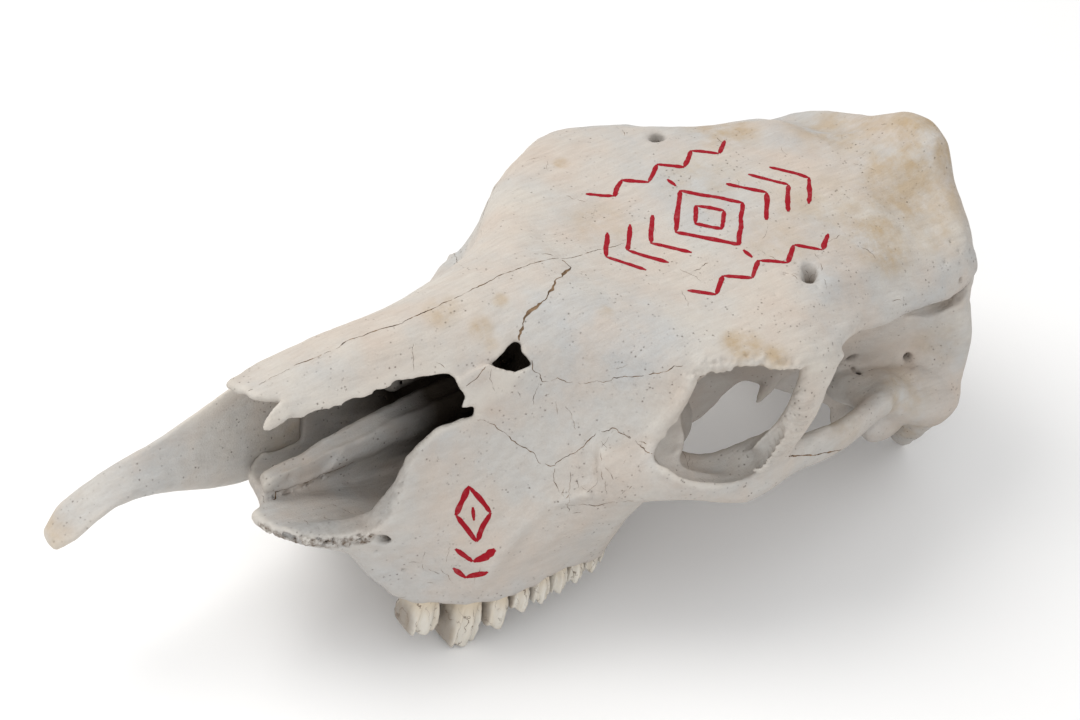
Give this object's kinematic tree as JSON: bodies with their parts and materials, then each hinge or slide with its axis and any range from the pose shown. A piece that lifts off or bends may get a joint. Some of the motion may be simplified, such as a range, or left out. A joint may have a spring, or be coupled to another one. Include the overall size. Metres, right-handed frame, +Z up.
{
  "type": "cow skull",
  "caption": "Still life-size cranium of a hornless cow, with the cheek teeth, open eye sockets and nose, parted along its main sutures.",
  "frame": {"origin": "centre of the box at its base, on the surface that the teeth and rear processes rest on", "axes": "+Z up, -Y towards the nose, +X towards the animal's left"},
  "size_m": [0.2306, 0.5088, 0.1879],
  "materials": {
    "bone_braincase": "matte, dry weathered bone",
    "bone_frontal": "matte, dry weathered bone",
    "bone_incisive": "matte, dry weathered bone",
    "bone_lacrimal": "matte, dry weathered bone",
    "bone_maxilla": "matte, dry weathered bone with teeth of worn enamel",
    "bone_nasal": "matte, dry weathered bone",
    "bone_occipital": "matte, dry weathered bone",
    "bone_temporal": "matte, dry weathered bone",
    "bone_vomer": "matte, dry weathered bone",
    "bone_zygomatic": "matte, dry weathered bone"
  },
  "bodies": {
    "root": {"nasal_left": "bone_nasal", "nasal_right": "bone_nasal", "lacrimal_left": "bone_lacrimal", "lacrimal_right": "bone_lacrimal", "frontal": "bone_frontal", "zygomatic_left": "bone_zygomatic", "zygomatic_right": "bone_zygomatic", "vomer": "bone_vomer", "maxilla_left": "bone_maxilla", "maxilla_right": "bone_maxilla", "temporal_left": "bone_temporal", "temporal_right": "bone_temporal", "occipital": "bone_occipital", "braincase": "bone_braincase", "incisive_right": "bone_incisive"}
  },
  "joints": []
}
